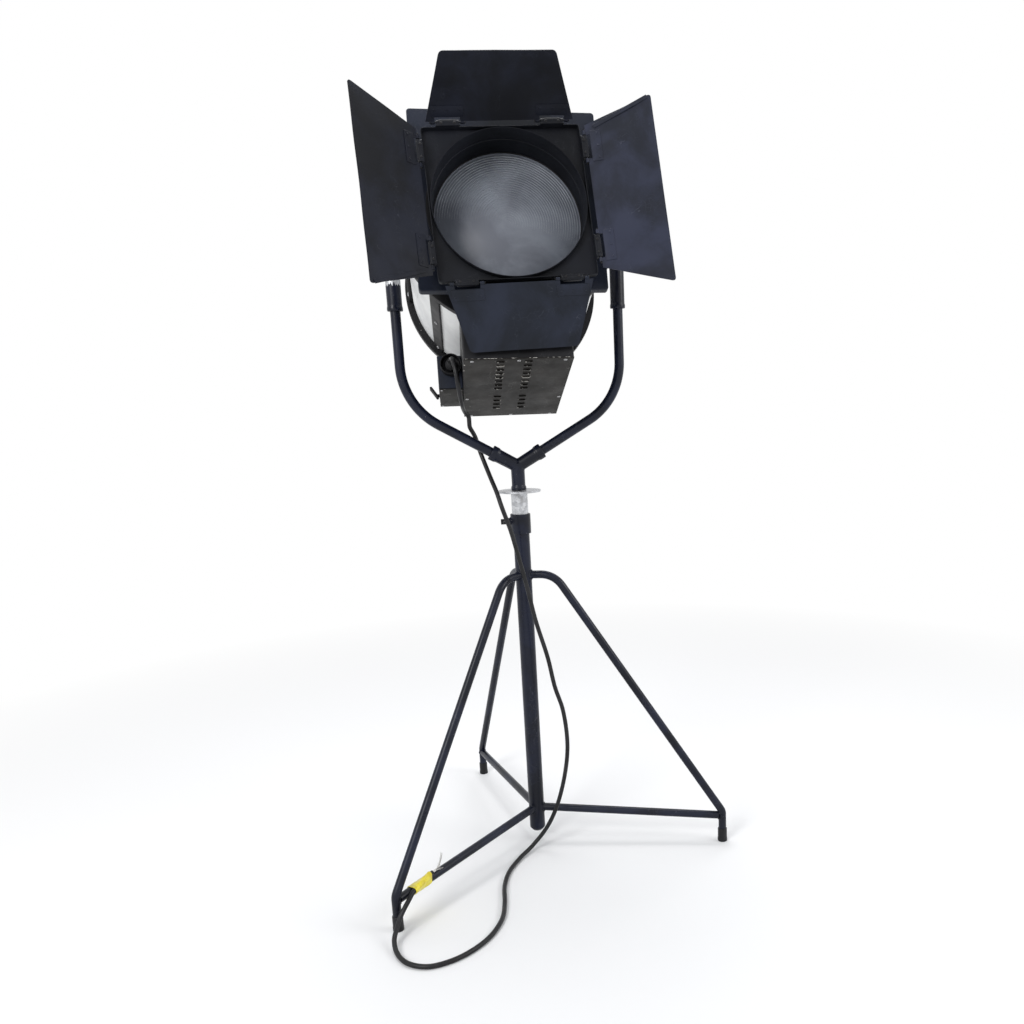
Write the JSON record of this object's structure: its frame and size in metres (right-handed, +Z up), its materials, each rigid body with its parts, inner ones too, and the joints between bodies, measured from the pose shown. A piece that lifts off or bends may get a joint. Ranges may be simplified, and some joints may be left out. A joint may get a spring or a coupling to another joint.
{
  "type": "studio light",
  "caption": "Large stepped-lens spotlight with a four-leaf barn door, hung in a bent pipe yoke on a welded tripod stand with braces, with a black mains cord.",
  "frame": {"origin": "on the floor, under the middle of the object's bounding box in plan", "axes": "+Z up along the stand's post; the lamp's front looks along -Y, tilted up; +X is to the right for someone who faces the lens"},
  "size_m": [0.8064, 0.9527, 1.734],
  "materials": {
    "black_paint": "worn satin black paint",
    "navy_paint": "satin blue-black paint",
    "silver_paint": "silver-white paint, chalky",
    "galvanised": "galvanised steel",
    "bright_steel": "turned steel",
    "lens_glass": "clear pressed glass, stepped front",
    "lamp_glass": "clear blown glass",
    "black_rubber": "matt black rubber",
    "mirror_dish": "polished",
    "ceramic_base": "unglazed ceramic",
    "copper_wire": "bare copper strands",
    "yellow_tape": "yellow adhesive tape"
  },
  "bodies": {
    "stand": {"post": "black_paint", "stand_collar": "black_paint", "right_leg": "black_paint", "near_leg": "black_paint", "far_leg": "black_paint", "right_brace": "black_paint", "near_brace": "black_paint", "far_brace": "black_paint", "yellow_tape": "yellow_tape", "bare_wires": "copper_wire", "cord_lower": "black_rubber"},
    "clamp": {"clamp_screw": "galvanised"},
    "yoke": {"spigot": "galvanised", "bearing_disc": "galvanised", "y_fitting": "black_paint", "left_yoke_tube": "black_paint", "right_yoke_tube": "black_paint", "left_end_fitting": "black_paint", "right_end_fitting": "black_paint", "left_lock_nut": "galvanised", "cord_middle": "black_rubber"},
    "tilt_lock": {"right_lock_handle": "galvanised"},
    "head": {"left_pivot_stud": "bright_steel", "right_pivot_stud": "bright_steel", "front_plate": "navy_paint", "front_ring": "black_paint", "lens_holder": "black_paint", "lens": "lens_glass", "lens_ring": "black_paint", "door_retainer": "black_paint", "drum_shell": "silver_paint", "rear_ring": "black_paint", "rear_cover": "silver_paint", "rear_grip": "black_paint", "left_trunnion_bar": "black_paint", "right_trunnion_bar": "black_paint", "left_rail": "black_paint", "right_rail": "black_paint", "vent_box": "black_paint", "louvre_plate": "black_paint", "top_vent": "black_paint", "connection_box": "navy_paint", "connection_cover": "black_paint", "cord_gland": "black_paint", "cord_bush": "black_rubber", "cord_upper": "black_rubber", "left_guide_rod": "bright_steel", "right_guide_rod": "bright_steel"},
    "mains_switch": {"switch_lever": "black_paint"},
    "focus_drive": {"focus_screw": "bright_steel", "focus_knob": "black_paint"},
    "carriage": {"lamp_carriage": "bright_steel", "lamp_holder": "ceramic_base", "lamp": "lamp_glass", "reflector": "mirror_dish"},
    "barn_door": {"barn_door_frame": "black_paint"},
    "leaf_top": {"top_leaf": "navy_paint"},
    "leaf_right": {"right_leaf": "navy_paint"},
    "leaf_bottom": {"bottom_leaf": "navy_paint"},
    "leaf_left": {"left_leaf": "navy_paint"}
  },
  "joints": [
    {"name": "clamp_screw_turn", "type": "hinge", "parent": "stand", "child": "clamp", "pos_m": [-0.08406, -0.05539, 0.817], "axis": [-1, 0, 0], "range_deg": [0, 360]},
    {"name": "yoke_pan", "type": "hinge", "parent": "stand", "child": "yoke", "pos_m": [-0.06056, -0.05539, 0.8], "axis": [0, 0, 1], "range_deg": [-170, 170]},
    {"name": "head_tilt", "type": "hinge", "parent": "yoke", "child": "head", "pos_m": [-0.06056, -0.05539, 1.423], "axis": [1, 0, 0], "range_deg": [-50, 38]},
    {"name": "tilt_lock_turn", "type": "hinge", "parent": "head", "child": "tilt_lock", "pos_m": [0.20344, -0.05539, 1.423], "axis": [1, 0, 0], "range_deg": [0, 150]},
    {"name": "barn_door_turn", "type": "hinge", "parent": "head", "child": "barn_door", "pos_m": [-0.06056, -0.2477, 1.4716], "axis": [0, -0.9529, 0.3032], "range_deg": [-12, 12]},
    {"name": "top_leaf_fold", "type": "hinge", "parent": "barn_door", "child": "leaf_top", "pos_m": [-0.068, -0.21185, 1.63211], "axis": [0.999, 0.0138, 0.0432], "range_deg": [-74.4, 116.6]},
    {"name": "right_leaf_fold", "type": "hinge", "parent": "barn_door", "child": "leaf_right", "pos_m": [0.10327, -0.26451, 1.48475], "axis": [0.0454, -0.3029, -0.9519], "range_deg": [-25.7, 144.3]},
    {"name": "bottom_leaf_fold", "type": "hinge", "parent": "barn_door", "child": "leaf_bottom", "pos_m": [-0.05312, -0.31119, 1.31988], "axis": [-0.999, -0.0138, -0.0432], "range_deg": [-3, 205]},
    {"name": "left_leaf_fold", "type": "hinge", "parent": "barn_door", "child": "leaf_left", "pos_m": [-0.2244, -0.26902, 1.47057], "axis": [-0.0454, 0.3029, 0.9519], "range_deg": [-51.2, 118.8]},
    {"name": "lamp_focus", "type": "slide", "parent": "head", "child": "carriage", "axis": [0, -0.9529, 0.3032], "range_m": [-0.06, 0.06]},
    {"name": "focus_screw_turn", "type": "hinge", "parent": "head", "child": "focus_drive", "pos_m": [-0.06056, 0.10055, 1.12153], "axis": [0, -0.9529, 0.3032], "range_deg": [-541, 541]},
    {"name": "switch_throw", "type": "hinge", "parent": "head", "child": "mains_switch", "pos_m": [-0.22656, 0.02323, 1.1094], "axis": [1, 0, 0], "range_deg": [0, 40]}
  ],
  "couplings": [
    {"joint": "focus_screw_turn", "follows": "lamp_focus", "rad_per_m": 157.08}
  ]
}
